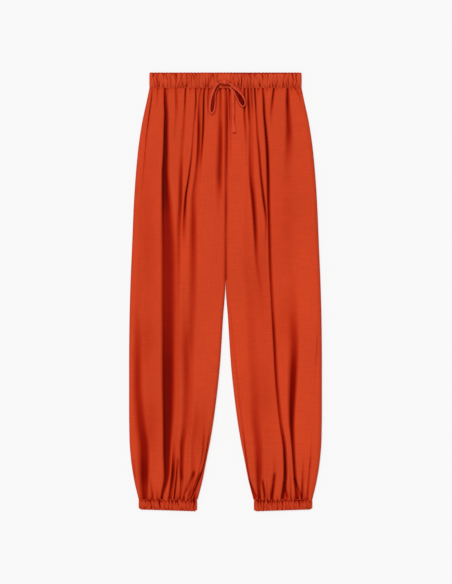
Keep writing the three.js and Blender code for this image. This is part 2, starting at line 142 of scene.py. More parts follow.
LEFT_FOLDS = {
    "centre gather": dict(
        lip=(3, 4, 4, 3, 2, 2), slope=(4, 5, 5, 4, 4, 4), core=(0.3, 0, 0, 0, 0.3, 0.3),
        x=(9.2, 9.2, 10.5, 11.5, 12.5, 12.5, 11.5, 10.5, 9, 10.5, 16, 26.5, 37, 45, 53, 66),
        depth=(6, 4, 3.5, 2, 1, 0, 0, 0, 0, 0.5, 0.8, 0.8, 0.8, 3.5, 4, 4),
    ),
    "front gather": dict(
        lip=(3, 5, 14, 16, 10, 6), floor=(0, 0, 0, 0, 4, 0), slope=(4, 6, 14, 20, 10, 7),
        core=(0.3, 0, 0, 0, 0.2, 0.2),
        x=(43.5, 43, 43.5, 46, 49, 50, 50, 50, 50, 56, 60, 66, 68, 74, 75, 77),
        depth=(5.5, 6, 4.5, 3, 1, 0.5, 0.5, 0.5, 0.8, 1, 1.6, 1.8, 3, 4, 5.5, 5.5),
    ),
    "short pleat": dict(
        lip=(2.5, 6, 6, 5, 3, 3), slope=(4, 12, 8, 8, 5, 5), core=(0.3, 0.1, 0.3, 0, 0.2, 0.2),
        x=(51.5, 52, 54, 57, 56.5, 57.5, 62.5, 67, 72, 84, 88.5, 93, 95.5, 92, 85, 90),
        depth=(5.5, 7.5, 5, 3, 3.8, 5.5, 7.8, 7, 2.6, 0.5, 0, 0, 0, 0, 1.5, 3),
    ),
    "small gather": dict(
        lip=(3, 4, 4, 4, 3, 3), slope=(4, 4, 4, 4, 4, 4), core=(0, 0, 0, 0, 0.2, 0.2),
        x=(59, 60, 62, 64.5, 67, 69.5, 75.5, 82, 83.5, 90, 95, 99.5, 103, 101, 95, 97.5),
        depth=(4, 4, 2, 0, 0, 0, 0, 0, 0, 0, 0, 0, 0, 0, 0.5, 2),
    ),
    "joining pleat": dict(
        lip=(2, 4, 5, 5, 6, 4), slope=(4, 5, 5, 8, 8, 5), core=(0.5, 0.3, 0.3, 0, 0.3, 0.3),
        x=(66.5, 68, 70.5, 72.5, 76.5, 81, 87.5, 94, 92, 97, 102, 107, 112, 114, 112.5, 107),
        depth=(7, 6, 3.5, 3.5, 5, 6, 7.5, 3, 0, 0, 0, 0, 0, 0, 2.5, 5.5),
    ),
    "long pleat": dict(
        lip=(3, 5, 4, 4, 4, 5), floor=(0, 0, 0, 0, 2, 3), slope=(5, 7, 7, 8, 6, 5),
        core=(0.3, 0.8, 0.2, 0.2, 0.4, 0.4),
        x=(85, 87, 88.5, 91.5, 95, 97, 98, 99.5, 101.5, 106, 111, 116, 125, 134, 135.5, 129.5),
        depth=(4, 7, 8, 8.5, 9.4, 8.8, 7, 6.5, 5.4, 4.8, 6.6, 6, 5, 8, 9.5, 8),
    ),
    "hip gather": dict(
        lip=(3, 5, 4, 4, 3, 3), slope=(5, 10, 6, 6, 4, 4), core=(0.6, 0, 0, 0, 0.2, 0.2),
        x=(110.5, 107.5, 105, 106, 107, 109, 110.5, 111.5, 116, 123, 127.5, 133.5, 141.5, 146, 149, 150),
        depth=(8, 5.5, 2, 0, 0, 0, 0, 0, 0, 0, 0, 0, 0, 0, 1, 4),
    ),
    "calf pleat": dict(
        lip=(4, 14, 20, 14, 3, 3), floor=(0, 0, 0, 3, 1, 1), slope=(6, 16, 14, 11, 7, 7),
        core=(0.4, 0, 0, 0, 0.4, 0.4),
        x=(142, 142, 143.5, 145, 145, 144, 145, 146, 150, 157, 158, 154, 150.5, 154, 157.5, 163),
        depth=(6, 8, 6, 6, 3.5, 1, 0.5, 0.5, 0.5, 1.2, 4.5, 8.3, 9, 7.5, 7.5, 6),
    ),
    "side gather": dict(
        lip=(3, 4, 4, 4, 4, 4), slope=(6, 5, 5, 5, 5, 5), core=(0.2, 0, 0, 0, 0.2, 0.2),
        x=(160, 172, 176, 178.5, 180.5, 183, 185, 186.5, 187.5, 187.5, 186.5, 185, 184, 181.5, 177.5, 175.5),
        depth=(3.5, 1.5, 0, 0, 0, 0, 0, 0, 0, 0, 0, 0, 0, 0, 3, 6.5),
    ),
    "side": dict(
        lip=(3, 3, 3, 3, 3, 3), slope=(3, 4, 4, 4, 4, 4), core=(0, 0, 0, 0, 0.1, 0.1),
        x=(168.5, 177.5, 182.5, 188.5, 196, 201, 205.5, 208, 210.5, 211.5, 211, 206, 201, 196.5, 192, 187.5),
        depth=(1.5, 0, 0, 0, 0, 0, 0, 0, 0, 0, 0.8, 0.5, 0, 1, 3, 4),
    ),
}

# Broad, shallow hollows of the fronts, and a short one under the knot: x, y, half width, half length, depth. Each is
# dented into the cloth and also painted with shade by its depth.
HOLLOWS = (
    (-179, 130, 20, 140, 2.0), (-180, -120, 16, 60, 2.2), (-172, -310, 22, 70, 2.6), (-95, -120, 14, 60, 2.0),
    (-63, -320, 22, 60, 2.2), (-112, -300, 9, 110, 1.2), (80, 10, 24, 110, 1.6), (142, -70, 26, 60, 1.8),
    (86, -250, 32, 130, 1.6), (140, 170, 34, 110, 1.3), (-4, 470, 13, 4, 3),
)

# Slanting creases, dented into the cloth and painted with shade by their depth: the two ends, half width, depth.
CREASES = (
    ((-71, -410), (-92, -464), 3.2, 5), ((-56, -412), (-82, -470), 2.8, 5),
    ((-108, -380), (-101, -436), 3.5, 2.8), ((-212, -385), (-206, -430), 1.6, 3),
    ((134, -436), (143, -476), 3.2, 6), ((51, -425), (72, -475), 2.8, 5), ((84, -430), (92, -474), 2.5, 4.5),
    ((113, -414), (104, -474), 3.5, 4), ((157, -425), (175, -474), 2.8, 5),
    ((198, -378), (193, -408), 1.5, 1.8), ((212, -100), (207, -172), 1.2, 1.2),
    ((8, -18), (46, -360), 1.2, 1.2),
)

# Short gathers at the waist seam and the cuff seams, dented into the cloth and painted with shade by their depth: x
# at the seam, x where it runs out, length, half width, depth.
WAIST_GATHERS = (
    (-132, -132, 26, 3, 3), (-122, -124, 18, 2.5, 2.5), (-103, -104, 20, 2.5, 2.5), (-80, -81, 22, 2.5, 3),
    (-62, -61, 24, 2.5, 3.5), (-44, -43, 16, 2.5, 3.5), (-32, -34, 40, 3, 4), (-19, -18, 60, 3, 3),
    (18.5, 18.5, 70, 3, 4), (35, 38, 50, 3, 4), (75, 77, 26, 2.5, 4), (95, 96, 16, 2.5, 3),
    (120, 121, 20, 2.5, 2.5), (131, 130, 14, 2.5, 2.5), (152, 155, 22, 2.5, 2.5),
)
CUFF_GATHERS = (
    (-186, -184, 30, 3.5, 3), (-175.5, -174, 38, 2.5, 3.5), (-170, -168, 22, 2, 5), (-156, -158, 34, 3.5, 5),
    (-128, -127, 18, 2.5, 3), (-111, -110, 22, 2, 5), (-105.5, -104.5, 24, 2, 5), (-96.5, -96, 24, 2, 5),
    (-84, -80, 26, 2.5, 4), (-74.5, -64, 48, 3, 5), (-67, -62, 26, 2.5, 4), (-60, -57, 22, 2, 4),
    (70, 69, 26, 2.2, 4), (80, 79, 30, 2.2, 4.5), (91, 88, 16, 2, 2.5), (105, 108, 34, 3, 4),
    (120, 119, 12, 2, 2.5), (140, 138, 26, 2.5, 4), (160, 160, 26, 2.5, 4), (168, 167, 34, 2.5, 4),
    (175, 176, 16, 2, 3.5), (184, 181, 26, 3, 4),
)

# The mouths of the pockets in the side seams: their upper and lower end, and how far in their stitches run.
POCKET_MOUTH = (432, 264)
POCKET_INSET = 4

LEGS_PART = 26  # height y at which the legs part
STITCHED_GAP = 0.02  # how far a panel stays clear of the centre seam's middle
BOW_LOW = 340  # height y under which the bow casts no shade

# How the puffed cloth hangs over the cuffs, and the shadow it casts on them, painted on the cuffs.
OVERHANG = 7
OVERHANG_REACH = 6
OVERHANG_PITCH = 9.3
OVERHANG_SHADE = 0.32
OVERHANG_SHADE_REACH = 1.3
CUFF_CLEAR = 6.2  # height above which the cloth hangs over

# The shade along a front's outline, and how the cloth rolls over there and at the legs' inner edges.
EDGE_SHADE = 0.35
EDGE_REACH = 1.6
OUTER_ROLL = 10
INNER_ROLL = 8

# Slow rises and falls of the puffed cloth.
SWELL_HEIGHT = 0.35
SWELL_WIDTH = 19
SWELL_LENGTH = 120
SWELL_SLANT = 55
SWELL_SWAY = 0.9
SWELL_SWAY_LENGTH = 140

# Folds: how far a lip leans over its bottom, as a share of its depth, and the shade painted along a fold's bottom.
LEAN = 0.12
CORE_REACH = 1.5
CORE_DEPTH = 6  # depth of a fold whose bottom gets its full painted shade
CORE_SHADE = 0.4
DEEPEST = 10  # depth of a fold painted in full shade, as if no light reached it
MOST_SHADE = 0.93

# Short gathers and creases: how sharp their section is, how they widen and fade, how far a crease runs past its ends.
DIP_POWER = 1.7
GATHER_SPREAD = 0.6
GATHER_FADE = 1.3
CREASE_ENDS = 0.55
CREASE_TAPER = 1.15
DIP_RELIEF = 0.7  # depth in the mesh, as a share of the depth that shades

# The centre seam's groove, and the puckers along the seams.
GROOVE_REACH = 3
GROOVE_POWER = 1.5
GROOVE_DEPTH = 2.5
PUCKER_DEPTH = 1.5
PUCKER_REACH = 18
PUCKER_PITCH = 8.3
PUCKER_SHADE = 0.5
SEAM_SHADE_REACH = 5
BOTTOM_ROUND = 1.2  # how softly a fold's bottom meets the lowest level
TUCK = 0.15  # how much flatter a front is right at its seams
TUCK_REACH = 12

# Gathers along a seam: what shifts them, as size, length and phase, and what makes their sizes uneven.
GATHER_WANDER = ((0.24, 23, 0), (0.16, 9.7, 1.3))
GATHER_UNEVEN = (0.3, 13, 0.6)

PANEL_ROWS = 330
COLUMNS_IN_GAP = 13
COLUMN_PITCH = 2.0
TO_LIP = 2.0  # how strongly the columns crowd together before a fold's bottom, and past it
PAST_LIP = 1.3
RIM_TOP = 3.5  # height of a front's ends at its seams


def smooth_curve(places, values):
    """A curve through the values at the given places, with no overshoot between them."""
    order = np.argsort(places)
    xs = np.array(places, float)[order]
    vs = np.array(values, float)[order]
    rise = np.diff(vs) / np.diff(xs)
    before = np.concatenate((rise[:1], rise))
    after = np.concatenate((rise, rise[-1:]))
    same_way = before * after > 0
    total = np.where(same_way, before + after, 1.0)
    tangent = np.where(same_way, 2 * before * after / total, 0.0)

    def at(x):
        held = np.clip(x, xs[0], xs[-1])
        k = np.clip(np.searchsorted(xs, held, side="right") - 1, 0, len(xs) - 2)
        span = xs[k + 1] - xs[k]
        t = (held - xs[k]) / span
        keep = (1 + 2 * t) * (1 - t) ** 2
        bend = t * (1 - t) * span * ((1 - t) * tangent[k] - t * tangent[k + 1])
        return keep * vs[k] + (1 - keep) * vs[k + 1] + bend

    return at


def column(table, k):
    return smooth_curve([row[0] for row in table], [row[k] for row in table])


outer_edge = column(OUTLINE, 1)
inner_edge = column(OUTLINE, 2)
loft = column(LEVELS, 1)
centre_height = column(LEVELS, 2)


class Fold:
    """One fold of a front: its place, depth and reach at any y."""

    def __init__(self, lip, slope, core, x, depth, floor=(0, 0, 0, 0, 0, 0)):
        self.lip = smooth_curve(REACH_STATIONS, lip)
        self.floor = smooth_curve(REACH_STATIONS, floor)
        self.slope = smooth_curve(REACH_STATIONS, slope)
        self.core = smooth_curve(REACH_STATIONS, core)
        self.at = smooth_curve(STATIONS, x)
        self.depth = smooth_curve(STATIONS, depth)


FOLDS = {
    side: {name: Fold(**row) for name, row in table.items()} for side, table in ((-1, RIGHT_FOLDS), (1, LEFT_FOLDS))
}

# The centre seam's groove, from the waist down to the crotch: y, how dark its painted shade is, which also sets how
# deep it is dented, how far to the wearer's left.
CENTRE_GROOVE = (
    (469, 0.5, 2), (441, 0.75, 3), (397, 0.93, 3.2), (350, 0.8, 3), (303, 0.7, 2.6), (250, 0.45, 2.2),
    (200, 0.58, 1.8), (131, 0.34, 1.8), (80, 0.42, 1.8), (30, 0.45, 1.8),
)
centre_groove = column(CENTRE_GROOVE, 1)
groove_place = column(CENTRE_GROOVE, 2)


def rolled(distance, reach):
    """How far a surface has come up, 0 to 1, at a distance from the edge that it rolls over."""
    return np.sqrt(1 - (1 - np.clip(distance / reach, 0, 1)) ** 2)


def gathers(x, pitch):
    """Gathers along a seam, -1 to 1, uneven so that no two are alike."""
    wander = sum(size * np.sin(x / length + phase) for size, length, phase in GATHER_WANDER)
    size, length, phase = GATHER_UNEVEN
    return np.sin(2 * np.pi * (x / pitch + wander)) * (1 - size + size * np.sin(x / length + phase))


def overhang(x):
    """How far the puffed cloth hangs over a cuff at x."""
    return OVERHANG * (0.5 + 0.5 * gathers(x, OVERHANG_PITCH))


def swell(x, y):
    """Slow rises and falls of the puffed cloth, -1 to 1."""
    sway = SWELL_SWAY * np.sin(y / SWELL_SWAY_LENGTH)
    return np.sin(x / SWELL_WIDTH + sway) * np.sin(y / SWELL_LENGTH + x / SWELL_SLANT)


def dips(x, y):
    """How deep the hollows, short gathers and creases are at x, y: a depth that dents the cloth and also sets the
    shade painted there.
    """
    dip = np.zeros_like(x)
    for middle, level, half_width, half_length, depth in HOLLOWS:
        dip += depth * np.exp(-(((x - middle) / half_width) ** 2) - ((y - level) / half_length) ** 2)
    for seam, way, table in ((WAIST_SEAM, 1, WAIST_GATHERS), (CUFF_SEAM, -1, CUFF_GATHERS)):
        away = np.maximum(way * (seam - y), 0)
        for start, end, length, half_width, depth in table:
            along = np.clip(away / length, 0, 1)
            off = np.abs(x - start - (end - start) * along) / (half_width * (1 + GATHER_SPREAD * along))
            dip += depth * (1 - along) ** GATHER_FADE * np.exp(-off ** DIP_POWER)
    for (x0, y0), (x1, y1), half_width, depth in CREASES:
        along = (y0 - y) / (y0 - y1)
        off = np.abs(x - x0 - (x1 - x0) * along) / half_width
        taper = np.clip(CREASE_TAPER - np.abs(2 * along - 1) ** 4, 0, 1) * (np.abs(along - 0.5) < CREASE_ENDS)
        dip += depth * taper * np.exp(-off ** DIP_POWER)
    return dip


def front_surface(side, x, y):
    """Height of the outside of a front panel at x, y, how far it leans to the right there, and the shade painted on
    it there, 0 to 1, in its folds, groove, hollows and creases, along its outline and at its seams. side is 1 on the
    wearer's left and -1 on their right."""
    full = loft(y)
    centre = centre_height(y)
    from_outer = rolled(outer_edge(y) - side * x, OUTER_ROLL)
    from_inner = rolled(side * x - inner_edge(y), INNER_ROLL)
    z = np.minimum(FRONT_LOW + (full - FRONT_LOW) * from_outer, centre + (full - centre) * from_inner)
    z = z + SWELL_HEIGHT * swell(x, y) * from_outer * from_inner
    lean = np.zeros_like(z)
    shade = np.zeros_like(z)
    for fold in FOLDS[side].values():
        off = x - fold.at(y)
        depth = fold.depth(y)
        drop = np.clip(1 + off / fold.lip(y), 0, 1)
        rise = np.clip(1 - (off - fold.floor(y)) / fold.slope(y), 0, 1)
        share = np.where(off < 0, drop, rise)
        share = share * share * (3 - 2 * share)
        z = z - depth * share
        lean = lean + np.where(off < 0, LEAN * depth * np.sin(np.pi * drop), 0)
        core = fold.core(y) * np.minimum(1, depth / CORE_DEPTH) * np.exp(-((off / CORE_REACH) ** 2))
        shade = np.maximum(shade, share * depth / DEEPEST + CORE_SHADE * core)
    dip = dips(x, y)
    off = np.abs((x - groove_place(y)) / GROOVE_REACH)
    groove = np.where(y > LEGS_PART, centre_groove(y) * np.exp(-off ** GROOVE_POWER), 0)
    shade = np.maximum(shade, groove) + dip / DEEPEST
    shade = shade + EDGE_SHADE * np.exp(-np.maximum(outer_edge(y) - side * x, 0) / EDGE_REACH)
    z = z - GROOVE_DEPTH * groove - DIP_RELIEF * dip
    from_seam = np.minimum(WAIST_SEAM - y, y - CUFF_SEAM)
    fade = np.exp(-np.maximum(from_seam, 0) / PUCKER_REACH)
    pucker = 0.5 + 0.5 * gathers(x, PUCKER_PITCH)
    z = z - PUCKER_DEPTH * fade * pucker
    shade = shade + PUCKER_SHADE * pucker ** 2 * np.exp(-np.maximum(from_seam, 0) / SEAM_SHADE_REACH)
    z = FRONT_LOW + 0.5 * ((z - FRONT_LOW) + np.sqrt((z - FRONT_LOW) ** 2 + BOTTOM_ROUND))
    tucked = 1 - TUCK + TUCK * rolled(from_seam, TUCK_REACH)
    return FRONT_LOW + (z - FRONT_LOW) * tucked, lean, shade


def in_scene(name, data):
    """A new object of the scene."""
    added = bpy.data.objects.new(name, data)
    bpy.context.scene.collection.objects.link(added)
    return added


def new_piece(name, points, faces, slot_name):
    """A piece of the garment from points in millimetres, in the frame's own axes."""
    mesh = bpy.data.meshes.new(name)
    corners = (np.asarray(points, float).reshape(-1, 3) * MM).tolist()
    mesh.from_pydata(corners, [], [list(map(int, face)) for face in faces])
    mesh.polygons.foreach_set("use_smooth", [True] * len(mesh.polygons))
    mesh.update()
    piece = in_scene(name, mesh)
    mesh.materials.append(MATERIALS[slot_name])
    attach(piece, "root")
    return piece


def mark_painted_shade(piece, shade):
    """Stores the shade painted on each point of a piece, 0 to 1, which its material uses to darken its colour."""
    attribute = piece.data.attributes.new("painted_shade", "FLOAT", "POINT")
    attribute.data.foreach_set("value", np.clip(shade, 0, MOST_SHADE).reshape(-1).astype(np.float32))


def grid_faces(rows, columns, ring=False):
    """Four-sided faces between the points of a grid, row after row. In a ring the last column joins the first."""
    last = columns if ring else columns - 1
    i, j = np.meshgrid(np.arange(rows - 1), np.arange(last), indexing="ij")
    here = i * columns + j
    right = i * columns + (j + 1) % columns
    return np.stack((here, right, right + columns, here + columns), axis=-1).reshape(-1, 4)


def panel_rows(count, crowding=0.45):
    """Heights y of a panel's rows from its cuff to its waist seam, closer together at both."""
    t = np.linspace(0, 1, count + 1)
    eased = t - crowding * np.sin(2 * np.pi * t) / (2 * np.pi)
    return CUFF_SEAM + SEAM / 2 + (WAIST_SEAM - CUFF_SEAM - SEAM) * eased


def panel_edges(side, y):
    """The least and the greatest x of a panel at y."""
    edges = (inner_edge(y) + STITCHED_GAP, outer_edge(y))
    return edges if side > 0 else (-edges[1], -edges[0])


def front_columns(side, y):
    """The x of each point of a front's rows: columns follow the folds, and crowd together at their lips."""
    first, last = panel_edges(side, y)
    stops = [first] + [fold.at(y) for fold in FOLDS[side].values()] + [last]
    parts = []
    for k in range(len(stops) - 1):
        gap = stops[k + 1] - stops[k]
        steps = COLUMNS_IN_GAP + int(round(float(np.mean(gap)) / COLUMN_PITCH))
        t = np.arange(steps)[None, :] / steps
        start = t ** (TO_LIP if k == 0 else PAST_LIP)
        end = (1 - t) ** TO_LIP
        parts.append(stops[k][:, None] + gap[:, None] * start / (start + end))
    parts.append(stops[-1][:, None])
    return np.concatenate(parts, axis=1)


def front_panel(side, name, node):
    """The outside of a front, with its edges turned down to the back and to the seams."""
    y = panel_rows(PANEL_ROWS)
    x = front_columns(side, y)
    ys = np.repeat(y[:, None], x.shape[1], axis=1)
    z, lean, shade = front_surface(side, x, ys)
    by_bow = y > BOW_LOW
    shade[by_bow] += tie_shade(x[by_bow], ys[by_bow])
    puffed = np.clip(z - CUFF_CLEAR, 0, 1) * np.exp(-(ys - CUFF_SEAM) / OVERHANG_REACH)
    drop = overhang(x) * puffed
    points = np.stack((x + lean, ys - drop, z), axis=-1)
    points = np.pad(points, ((0, 0), (1, 1), (0, 0)), mode="edge")
    points[:, (0, -1), 2] = CLOTH + SEAM
    points = np.pad(points, ((1, 1), (0, 0), (0, 0)), mode="edge")
    points[0, :, 1] = y[0]
    points[-1, :, 1] = y[-1]
    points[(0, -1), :, 2] = np.minimum(points[(0, -1), :, 2], RIM_TOP)
    piece = new_piece(name, points, grid_faces(*points.shape[:2]), "cloth")
    mark_painted_shade(piece, np.pad(shade, 1, mode="edge"))
    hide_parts(node)
    return piece


# Creases on the underside of each back: place at the waist, place at the cuff, depth, reach.
BACK_CREASES = (
    (32, 84, 0.7, 12), (71, 101, 0.9, 16), (104, 133, 0.8, 11), (139, 152, 0.9, 18), (160, 183, 0.6, 10),
)
BACK_DRIFT = 1.6  # how late a crease leaves its line at the waist for its line at the cuff
BACK_SWAY = 4
BACK_SWAY_LENGTH = 130
BACK_UNEVEN = 0.35
BACK_UNEVEN_LENGTH = 90
BACK_GATHER_DEPTH = 0.8
BACK_GATHER_REACH = 24
BACK_GATHER_PITCH = 9.1
BACK_LEAST = 0.15  # cloth left over the deepest crease
BACK_SEAM_SHIFT = 0.6  # how far the backs' seam lies beside the fronts'
BACK_SHIFT_REACH = 20
BACK_ROWS = 190
BACK_COLUMNS = 100
BACK_INSIDE_STEP = 4  # columns of the underside to one of the upper side


def back_panel(side, name, node):
    """A back lying on the surface: a closed shell, with its creases on the underside."""
    y = panel_rows(BACK_ROWS)
    first, last = panel_edges(side, y)
    aside = BACK_SEAM_SHIFT * np.clip((y - LEGS_PART) / BACK_SHIFT_REACH, 0, 1)
    first, last = (first - aside, last) if side > 0 else (first, last - aside)
    share = np.linspace(0, 1, BACK_COLUMNS + 1)
    x = first[:, None] + (last - first)[:, None] * share[None, :]
    ys = np.repeat(y[:, None], x.shape[1], axis=1)
    down = (WAIST_SEAM - ys) / (WAIST_SEAM - CUFF_SEAM)
    lift = np.zeros_like(x)
    for at_waist, at_cuff, depth, reach in BACK_CREASES:
        sway = BACK_SWAY * np.sin(ys / BACK_SWAY_LENGTH + at_waist)
        middle = at_waist + (at_cuff - at_waist) * down ** BACK_DRIFT + sway
        size = 1 - BACK_UNEVEN + BACK_UNEVEN * np.cos(ys / BACK_UNEVEN_LENGTH + at_cuff)
        lift += depth * np.exp(-(((side * x - middle) / reach) ** 2)) * size
    from_seam = np.minimum(WAIST_SEAM - ys, ys - CUFF_SEAM)
    gathered = 0.5 + 0.5 * gathers(x, BACK_GATHER_PITCH)
    lift += BACK_GATHER_DEPTH * np.exp(-from_seam / BACK_GATHER_REACH) * gathered
    lift = np.minimum(lift, CLOTH - BACK_LEAST)
    under = np.stack((x, ys, lift), axis=-1)
    over = np.stack((x, ys, np.full_like(x, CLOTH)), axis=-1)[:, ::-BACK_INSIDE_STEP]
    points = np.concatenate((under, over), axis=1)
    rows, columns = points.shape[:2]
    faces = [f[::-1] for f in grid_faces(rows, columns, ring=True)]
    faces.append(list(range(columns)))
    faces.append([(rows - 1) * columns + j for j in range(columns)][::-1])
    piece = new_piece(name, points, faces, "cloth")
    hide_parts(node)
    return piece


# The main gathers of the waistband and of the cuffs: where they lie along them.
BAND_GATHERS = (
    -165.5, -157.5, -153, -142.5, -133.5, -126.5, -114, -103.5, -100, -89.5, -84, -78.5, -70, -65.5, -60, -46, -39,
    -34.5, -26.5, -18, 13, 19.5, 30, 37, 43.5, 51.5, 58.5, 66.5, 78, 85, 97, 110.5, 118.5, 134.5, 145, 155,
    163.5,
)
RIGHT_CUFF_GATHERS = (
    -185, -178, -171, -164.5, -157.5, -151, -140.5, -130, -124, -120.5, -114, -109, -100, -93, -90.5, -84, -79, -72.5,
)
LEFT_CUFF_GATHERS = (
    70, 76, 82, 89, 96, 101, 108, 113, 120, 126, 131, 139, 146, 151, 158, 164, 171, 178, 186, 192,
)
CASING_ROWS = 26
CASING_SHADE = 0.6
STITCH_INSET = 2.6
HEM_INSET = 8
CUFF_CORNER = 2.2
CUFF_INNER = 65.5
CUFF_OUTER = 199.7
CUFF_THICKNESS = 6.4
CUFF_SLOPE = 4.4  # how much lower a cuff's bottom is at its inner end
CUFF_INSET = 0.8
BAND_INSET = 1.2

# What a casing's gathers are drawn from: share of the full depth, tilt, reach along the gather, share of the width.
MAIN_GATHER = {"depth": (0.5, 1.0), "tilt": (-0.12, 0.12), "spread": (0.4, 0.9), "breadth": (0.7, 1.4)}
FINE_GATHER = {"depth": (0.45, 1.25), "tilt": (-0.45, 0.45), "spread": (0.25, 0.5), "breadth": (0.5, 0.9)}
FINE_AT_SEAM = 0.6  # share of the fine gathers that are deepest at the seam
FINE_INSET = 4
MAIN_LEAST = 0.15  # what is left of a main gather's depth far from its deepest place
GATHER_WAVE = (0.9, 7)  # how far a gather wavers sideways, and how fast
GATHER_POWER = 1.6

# The section of a casing: how its upper face is puffed, how low its ends are, and its ruffled free edge.
SWELL_POWER = 3
PUFF_SHARES = (0.9, 0.25)
END_SHARE = 0.35
END_TURNS = 11
BACK_SWELL = 0.35
INSIDE_STEP = 4  # rows of the outer face to one of the inside
RIM_TURNS = (0.2, 0.5, 0.8)
RIM_ROUND = 0.45
RUFFLE = 0.4
RUFFLE_PITCH = 7.7
RUFFLE_SHIFT = 3

# The waistband's top rim, painted with shade, and darker still over a stretch standing for the shade where the band's
# front dips in front of its back: middle, half width, shade.
RIM_SHADE = 0.35
RIM_START = 0.93
RIM_FADE = 0.05
RIM_SHADE_STRETCH = (68, 85, 0.45)


class Casing:
    """An elastic casing lying flat: a ring of cloth, gathered on its upper face. seam_share is how far up it its seam
    lies, and plain is the middle and the half width of a stretch without fine gathers. tone is an even shade painted
    over the whole casing."""

    def __init__(self, left, right, bottom, top, seam_share, thickness, wall, puff, places, fine, deepest, depth,
                 width, tone, seed, plain=(0, 0)):
        self.left = left
        self.right = right
        self.bottom = bottom
        self.top = top
        self.is_cuff = seam_share == 1
        self.thickness = thickness
        self.wall = wall
        self.puff = puff
        self.depth = depth
        self.main = len(places)
        self.width = width
        self.tone = tone
        draw = random.Random(seed)
        self.marks = [self.gather(draw, x, MAIN_GATHER, lambda: draw.uniform(*deepest)) for x in places]
        for k in range(fine):
            x = left + FINE_INSET + (right - left - 2 * FINE_INSET) * (k + draw.uniform(0, 1)) / fine
            if abs(x - plain[0]) < plain[1]:
                continue
            nearest = seam_share if draw.random() < FINE_AT_SEAM else 1 - seam_share
            self.marks.append(self.gather(draw, x, FINE_GATHER, lambda: nearest))

    def gather(self, draw, x, ranges, deepest):
        """One gather at x: its place, depth, tilt, where along it it is deepest, reach and share of the width."""
        depth = self.depth * draw.uniform(*ranges["depth"])
        tilt = draw.uniform(*ranges["tilt"])
        return x, depth, tilt, deepest(), draw.uniform(*ranges["spread"]), draw.uniform(*ranges["breadth"])

    def share(self, x, y):
        """How far up the casing y is, 0 to 1."""
        return (y - self.bottom(x)) / (self.top(x) - self.bottom(x))

    def furrows(self, x, y):
        """How deep the gathers are at x, y."""
        v = self.share(x, y)
        height = self.top(x) - self.bottom(x)
        total = np.zeros_like(v)
        waver, speed = GATHER_WAVE
        for k, (place, depth, tilt, deepest, spread, breadth) in enumerate(self.marks):
            off = x - place - tilt * (v - 0.5) * height - waver * np.sin(speed * v + place)
            least = MAIN_LEAST if k < self.main else 0
            along = least + (1 - least) * np.exp(-(((v - deepest) / spread) ** 2))
            total += depth * along * np.exp(-np.abs(off / (self.width * breadth)) ** GATHER_POWER)
        return total

    def height(self, x, y):
        """Height of the upper face at x, y."""
        v = np.clip(self.share(x, y), 0, 1)
        bulge = 1 - np.abs(2 * v - 1) ** SWELL_POWER
        ends = rolled(np.minimum(x - self.left, self.right - x), self.thickness)
        most, less = PUFF_SHARES
        crown = self.thickness + self.puff * (bulge * most - less) - self.furrows(x, y)
        low = self.thickness * END_SHARE
        return low + (crown - low) * (END_SHARE + (1 - END_SHARE) * ends)


